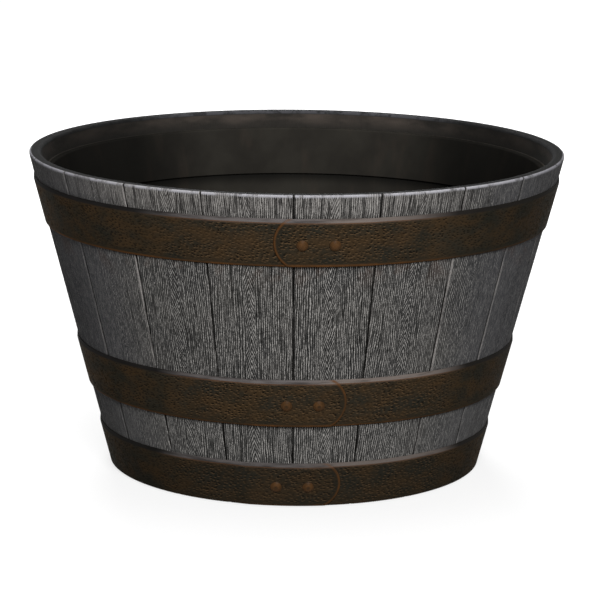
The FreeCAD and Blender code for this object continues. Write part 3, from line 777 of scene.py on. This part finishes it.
for hoop_name, width, foot, nose_degrees, way, setback in HOOPS:
    rise = width * SLOPE_COSINE
    bend = stave_face(foot + (rise - HOOP_BEVEL) / 2)
    length = 2 * math.pi * bend + LAP_LENGTH - LAP_END_GAP
    nose_radius = (rise ** 2 / 4 + NOSE_DEPTH ** 2) / (2 * NOSE_DEPTH)

    # The strip is drawn in section, drawn out flat to its length, and divided
    hoop = drawn_outline(f"hammered_hoop_{hoop_name}", [
        (0, 0, 0),
        (0, HOOP_THICKNESS - HOOP_BREAK, 0),
        (0, HOOP_THICKNESS, HOOP_BREAK),
        (0, HOOP_THICKNESS, rise - HOOP_BEVEL),
        (0, HOOP_LAND, rise),
        (0, 0, rise),
    ])
    bpy.ops.mesh.delete(type="ONLY_FACE")
    pick(hoop, "edges", lambda edge: all(
        abs(vert.co.y - HOOP_THICKNESS) < TOLERANCE for vert in edge.verts))
    bpy.ops.mesh.subdivide(number_cuts=HOOP_ROWS - 1)
    pick(hoop, "edges", lambda edge: 2 * HOOP_LAND < edge.calc_length() < rise / 2
         and max(vert.co.z for vert in edge.verts) > rise - TOLERANCE)
    bpy.ops.mesh.subdivide(number_cuts=SLOPE_ROWS - 1)
    bpy.ops.mesh.select_all(action="SELECT")
    bpy.ops.mesh.extrude_region_move(TRANSFORM_OT_translate={"value": (length, 0, 0)})
    pick(hoop, "edges", lambda edge: edge.calc_length() > length / 2)
    bpy.ops.mesh.subdivide(number_cuts=HOOP_LENGTHS - 1)
    pick(hoop, "edges", lambda edge: abs(
        edge.verts[0].co.x - edge.verts[1].co.x) > length / HOOP_LENGTHS / 2)
    bpy.ops.mesh.subdivide(number_cuts=HOOP_STEPS - 1)
    close_shape()

    # It is dented, its end is rounded, and it is bent round the cone with its outer end lifted
    mesh = hoop.data
    dents = []
    strips = []
    edges = []
    slopes = []
    for vert in mesh.vertices:
        along, out, up = vert.co
        outside = out > HOOP_THICKNESS - TOLERANCE
        chord = math.sqrt(nose_radius ** 2 - (up - rise / 2) ** 2)
        along += (nose_radius - chord) * max(0, 1 - along / NOSE_FADE)
        from_end = nose_radius - math.hypot(nose_radius - along, up - rise / 2)
        if along > nose_radius:
            from_end = FAR_FROM_END
        if from_end < NOSE_ROUND:
            out *= math.sqrt(max(0, 1 - (1 - max(0, from_end) / NOSE_ROUND) ** 2))
        open_face = eased((from_end - NOSE_ROUND) / NOSE_MARGIN) if outside else 0
        dents.append(beaten_depth(along, up, rise, foot * BLOW_SEED) * open_face)
        strips += ((along + BLOW_SLANT * up) * 1000, up * 1000, foot * 1000)
        unrubbed = EDGE_UNRUBBED[hoop_name]
        if along < LAP_LENGTH + LAP_RAMP / 2:
            unrubbed -= LAP_RUBBED
        edges.append(min(from_end, up + unrubbed) * 1000)
        slopes.append(eased((up - rise + HOOP_BEVEL + SLOPE_EARLY) / SLOPE_BLEND))
        lift = LAP_STEP * (1 - eased((along - LAP_LENGTH) / LAP_RAMP))
        radius = stave_face(foot + up) + HOOP_CLEARANCE + lift + out
        angle = math.radians(nose_degrees) + way * along / bend
        vert.co = (radius * math.cos(angle), radius * math.sin(angle), foot + up)
    keep_values(mesh, "dent", dents)
    keep_values(mesh, "strip_mm", strips)
    keep_values(mesh, "edge_mm", edges)
    keep_values(mesh, "on_slope", slopes)
    dented = hoop.vertex_groups.new(name="dented")
    for index, share in enumerate(dents):
        if share > 0:
            dented.add([index], share, "REPLACE")
    take(hoop)
    bpy.ops.object.mode_set(mode="EDIT")
    bpy.ops.mesh.select_all(action="SELECT")
    bpy.ops.mesh.normals_make_consistent(inside=False)
    bpy.ops.object.mode_set(mode="OBJECT")
    beating = hoop.modifiers.new("beating", "DISPLACE")
    beating.vertex_group = "dented"
    beating.mid_level = 0
    beating.strength = -DENT_DEPTH
    bpy.ops.object.modifier_apply(modifier="beating")
    bpy.ops.object.shade_smooth_by_angle(angle=math.radians(40))
    dress(hoop, hoop_metal)
    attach(hoop, "barrel")
    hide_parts(f"hoop_{hoop_name}")

# Rivets: two copper-coloured rivets through each lap, with domed heads, dimpled on the lower hoops.
# The shank fills its hole through both layers and ends flush with the inner one.
RIVET_SHANK = 0.0025
RIVET_HEAD = 0.0057
RIVET_HEIGHT = 0.0026
RIVET_GRIP = (HOOP_THICKNESS + LAP_STEP) * SLOPE_COSINE
RIVET_PITCH = 0.0294
RIVET_STEPS = 40
DOME_STEPS = 9
DOME_RADIUS = RIVET_HEAD ** 2 / (2 * RIVET_HEIGHT) + RIVET_HEIGHT / 2
DIMPLE_DEPTH = {"top": 0, "middle": 0.0005, "bottom": 0.0005}
DIMPLE_RADIUS = 0.002
SCUFF_SCALE = 900.0
SCUFF_RELIEF = 0.0003
COPPER_DARK = screen_colour(60, 41, 22)
COPPER_LIGHT = screen_colour(77, 52, 28)
COPPER_FOOT_SHADOW = screen_colour(30, 22, 15)
COPPER_CROWN_HIGHLIGHT = screen_colour(92, 64, 40)
COPPER_DIMPLE_SHADE = screen_colour(46, 35, 23)

rivet_metal, tree, shader, place = new_material("rivet_metal", specular=0.05, roughness=0.45)
crown = kept_value(tree, "crown")
copper = blended(tree, patches(tree, place, size=0.004), COPPER_DARK, COPPER_LIGHT)
# Painted shadow round the foot of each dome, and a painted highlight on its crown
copper = blended(tree, between(tree, crown, 0.25, 0.0), copper, COPPER_FOOT_SHADOW)
copper = blended(tree, product(tree, between(tree, crown, 0.55, 0.9), 0.35), copper, COPPER_CROWN_HIGHLIGHT)
# Painted shade in the dimples of the rivets below the top hoop
below_top_hoop = between(tree, parts_of(tree, place)["Z"], 0.2, 0.15, 0.0, 0.75)
dimple = product(tree, between(tree, kept_value(tree, "spread"), 0.5, 0.15), below_top_hoop)
copper = blended(tree, dimple, copper, COPPER_DIMPLE_SHADE)
tree.links.new(copper, shader.inputs["Base Color"])
roughen(tree, shader, speckle(tree, place, SCUFF_SCALE, detail=3.0), strength=0.4, distance=SCUFF_RELIEF)

for hoop_name, width, foot, nose_degrees, way, setback in HOOPS:
    points = [(0, 0, -RIVET_GRIP), (RIVET_SHANK, 0, -RIVET_GRIP), (RIVET_SHANK, 0, 0), (RIVET_HEAD, 0, 0)]
    for step in range(1, DOME_STEPS + 1):
        across = RIVET_HEAD * (1 - step / DOME_STEPS)
        up = math.sqrt(DOME_RADIUS ** 2 - across ** 2) - DOME_RADIUS + RIVET_HEIGHT
        sunk = DIMPLE_DEPTH[hoop_name] * (1 - eased(across / DIMPLE_RADIUS))
        points.append((across, 0, up - sunk))
    pattern = drawn_outline("rivet_pattern", points)
    bpy.ops.mesh.delete(type="ONLY_FACE")
    bpy.ops.mesh.select_all(action="SELECT")
    bpy.ops.mesh.spin(steps=RIVET_STEPS, angle=2 * math.pi, center=(0, 0, 0), axis=(0, 0, 1))
    close_shape()
    keep_values(pattern.data, "crown", [max(0, vert.co.z) / RIVET_HEIGHT for vert in pattern.data.vertices])
    keep_values(pattern.data, "spread", [vert.co.xy.length / RIVET_HEAD for vert in pattern.data.vertices])
    middle_height = foot + (width * SLOPE_COSINE - HOOP_BEVEL) / 2
    bend = stave_face(middle_height)
    seat = Matrix.Translation((bend + HOOP_CLEARANCE + LAP_STEP + HOOP_THICKNESS, 0, middle_height))
    square = Matrix.Rotation(math.radians(90) + math.atan(LEAN), 4, "Y")
    pair = []
    for place_along in (setback, setback + RIVET_PITCH):
        rivet = pattern.copy()
        rivet.data = pattern.data.copy()
        rivet.name = f"domed_rivets_{hoop_name}"
        bpy.context.collection.objects.link(rivet)
        swing = Matrix.Rotation(math.radians(nose_degrees) + way * place_along / bend, 4, "Z")
        rivet.data.transform(swing @ seat @ square)
        pair.append(rivet)
    bpy.data.objects.remove(pattern)
    take(pair[0])
    pair[1].select_set(True)
    bpy.ops.object.join()
    bpy.ops.object.shade_smooth_by_angle(angle=math.radians(40))
    dress(pair[0], rivet_metal)
    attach(pair[0], "barrel")
    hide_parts(f"rivets_{hoop_name}")

# Liner: one moulded tub of dark plastic that stands on the head, with a thick band round the inside
# of its top and drain holes in its floor. It is loose and lifts straight out.
LINER_GAP = 0.0005
LINER_WALL = 0.003
LINER_BAND = 0.0065
LINER_FOOT = 0.037
LINER_FLOOR = 0.041
BAND_FOOT = 0.247
BAND_SHADE = 0.013
LINER_TOP = 0.293
OUTER_CORNER = 0.0131
INNER_CORNER = 0.0108
EDGE_ROUND = 0.0014
BAND_ROUND = 0.0008
LINER_STEPS = 192
DRAIN_RADIUS = 0.006
DRAIN_CIRCLE = 0.075
DRAIN_STEPS = 48
DRILL_LENGTH = 0.03
STREAK_WAVES = (60, 60, 6)
SATIN_SCALE = 1400.0
SATIN_RELIEF = 0.0003
CHARCOAL_DARK = screen_colour(38, 36, 33)
CHARCOAL_LIGHT = screen_colour(46, 44, 40)
CHARCOAL_STREAK = screen_colour(58, 51, 45)
CHARCOAL_BAND_SHADOW = screen_colour(20, 20, 19)
CHARCOAL_SIDE_SHADE = screen_colour(14, 14, 13)


def tub(height):
    """Radius of the outside of the liner at a height."""
    return stave_back(height) - LINER_GAP


liner = drawn_outline("moulded_liner", [
    (DRAIN_RADIUS, 0, LINER_FOOT),
    (tub(LINER_FOOT), 0, LINER_FOOT),
    (tub(LINER_TOP), 0, LINER_TOP),
    (tub(LINER_TOP) - LINER_BAND, 0, LINER_TOP),
    (tub(BAND_FOOT) - LINER_BAND, 0, BAND_FOOT),
    (tub(BAND_FOOT) - LINER_WALL, 0, BAND_FOOT),
    (tub(LINER_FLOOR) - LINER_WALL, 0, LINER_FLOOR),
    (DRAIN_RADIUS, 0, LINER_FLOOR),
])
# Its corners are rounded, each by a radius in a number of segments
for corner, offset, segments in (
    ((tub(LINER_FOOT), LINER_FOOT), OUTER_CORNER, 8),
    ((tub(LINER_FLOOR) - LINER_WALL, LINER_FLOOR), INNER_CORNER, 8),
    ((tub(LINER_TOP) - LINER_BAND, LINER_TOP), EDGE_ROUND, 4),
    ((tub(BAND_FOOT) - LINER_BAND, BAND_FOOT), BAND_ROUND, 3),
):
    pick(liner, "verts", lambda vert: near(vert.co, *corner))
    bpy.ops.mesh.bevel(offset=offset, segments=segments, affect="VERTICES")
bpy.ops.mesh.select_all(action="SELECT")
bpy.ops.mesh.delete(type="ONLY_FACE")
bpy.ops.mesh.select_all(action="SELECT")
bpy.ops.mesh.spin(steps=LINER_STEPS, angle=2 * math.pi, center=(0, 0, 0), axis=(0, 0, 1))
close_shape()

# The spin leaves the middle drain open, and four more are drilled round it
for degrees in (45, 135, 225, 315):
    bearing = math.radians(degrees)
    spot = (DRAIN_CIRCLE * math.cos(bearing), DRAIN_CIRCLE * math.sin(bearing), LINER_FLOOR)
    bpy.ops.object.select_all(action="DESELECT")
    bpy.ops.mesh.primitive_cylinder_add(
        vertices=DRAIN_STEPS, radius=DRAIN_RADIUS, depth=DRILL_LENGTH, location=spot)
    drill = bpy.context.object
    take(liner)
    drain = liner.modifiers.new("drain", "BOOLEAN")
    drain.object = drill
    bpy.ops.object.modifier_apply(modifier="drain")
    bpy.data.objects.remove(drill)
take(liner)
bpy.ops.object.shade_smooth_by_angle(angle=math.radians(30))

liner_plastic, tree, shader, place = new_material("liner_plastic", specular=0.0)
liner_z = parts_of(tree, place)["Z"]
sheen = patches(tree, place, size=0.05)
streak = speckle(tree, stretched(tree, place, STREAK_WAVES), detail=3.0)
charcoal = blended(tree, sheen, CHARCOAL_DARK, CHARCOAL_LIGHT)
charcoal = blended(tree, between(tree, streak, 0.5, 0.75, 0.0, 0.4), charcoal, CHARCOAL_STREAK)

# Painted shade: the inside is darker under the band, as its painted shadow, and at the sides
place_round = around(tree, place, LENGTHWISE)
tub_radius = calc(tree, "MULTIPLY_ADD", liner_z, LEAN, tub(0))
depth = calc(tree, "SUBTRACT", tub_radius, place_round["Radius"])
inside = between(tree, depth, 0.0008, 0.002)
band_shadow = product(
    tree,
    between(tree, liner_z, BAND_FOOT - BAND_SHADE, BAND_FOOT),
    calc(tree, "LESS_THAN", liner_z, BAND_FOOT),
    inside,
    0.8,
)
charcoal = blended(tree, band_shadow, charcoal, CHARCOAL_BAND_SHADOW)
side_shade = product(
    tree,
    between(tree, place_round["Facing"], 0.97, 0.7),
    between(tree, liner_z, 0.06, 0.2, 0.0, 0.8),
    inside,
)
charcoal = blended(tree, side_shade, charcoal, CHARCOAL_SIDE_SHADE)
tree.links.new(charcoal, shader.inputs["Base Color"])
tree.links.new(between(tree, sheen, 0.0, 1.0, 0.6, 0.48), shader.inputs["Roughness"])
roughen(tree, shader, speckle(tree, place, SATIN_SCALE), strength=0.12, distance=SATIN_RELIEF)
dress(liner, liner_plastic)
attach(liner, "liner")
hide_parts("liner")

# Stage: a plain white floor and white surroundings, soft light from three sides, and the
# camera as far away and as high as the planter was seen from.
CAMERA_PLACE = (0, -2.8766, 0.7772)
CAMERA_PITCH = 12.13
CAMERA_ROLL = 0.538
CAMERA_LENS = 179.1
CAMERA_SENSOR = 36
CAMERA_SHIFT = 0.0077
CAMERA_REACH = 100
WORLD_LIGHT = 0.08
FLOOR_SIZE = 40
FLOOR_DROP = 0.0005
FLOOR_GREY = (0.25, 0.25, 0.25, 1)
WHITE = (1, 1, 1, 1)
LAMP_AIM = (0, 0, 0.2)
# Name, place, size and power of each lamp
LAMPS = (
    ("front_light", (0.4, -3.0, 2.0), 1.4, 124),
    ("back_light", (-0.4, 3.0, 2.0), 1.4, 124),
    ("top_light", (0.0, 0.0, 2.8), 1.6, 40),
)


def white_to_the_eye(tree):
    """A mask of the rays that see the white surroundings and not their light."""
    rays = add_node(tree, "ShaderNodeLightPath")
    seen = calc(tree, "MAXIMUM", rays.outputs["Is Camera Ray"], rays.outputs["Is Glossy Ray"])
    return calc(tree, "MAXIMUM", seen, rays.outputs["Is Transmission Ray"])


scene = bpy.context.scene
world = bpy.data.worlds.new("white_surroundings")
scene.world = world
world.use_nodes = True
tree = world.node_tree
background = tree.nodes["Background"]
background.inputs["Color"].default_value = WHITE
strength = add_node(tree, "ShaderNodeMapRange", {
    "Value": white_to_the_eye(tree), "To Min": WORLD_LIGHT, "To Max": 1.0})
tree.links.new(strength.outputs["Result"], background.inputs["Strength"])

# The floor fades to white away from the part, and keeps its shadow
bpy.ops.object.select_all(action="DESELECT")
bpy.ops.mesh.primitive_plane_add(size=FLOOR_SIZE, location=(0, 0, -FLOOR_DROP))
floor = bpy.context.object
floor.name = "floor"
floor_white, tree, shader, place = new_material("floor_white", specular=0.0, roughness=1.0)
shader.inputs["Base Color"].default_value = FLOOR_GREY
shader.inputs["Emission Color"].default_value = WHITE
from_part = vector_calc(tree, "LENGTH", place, output="Value")
glow = product(tree, between(tree, from_part, 0.4, 1.4, 0.77, 1.0), white_to_the_eye(tree))
tree.links.new(glow, shader.inputs["Emission Strength"])
dress(floor, floor_white)

for lamp_name, lamp_place, size, power in LAMPS:
    lamp = bpy.data.lights.new(lamp_name, "AREA")
    lamp.size = size
    lamp.energy = power
    holder = bpy.data.objects.new(lamp_name, lamp)
    holder.location = lamp_place
    holder.rotation_euler = (Vector(LAMP_AIM) - Vector(lamp_place)).to_track_quat("-Z", "Y").to_euler()
    bpy.context.collection.objects.link(holder)

camera = bpy.data.objects.new("camera", bpy.data.cameras.new("camera"))
camera.location = CAMERA_PLACE
camera.rotation_mode = "ZYX"
camera.rotation_euler = (math.radians(90 - CAMERA_PITCH), 0, math.radians(CAMERA_ROLL))
camera.data.lens = CAMERA_LENS
camera.data.sensor_width = CAMERA_SENSOR
camera.data.shift_x = CAMERA_SHIFT
camera.data.clip_end = CAMERA_REACH
bpy.context.collection.objects.link(camera)
scene.camera = camera
scene.view_settings.view_transform = "Standard"
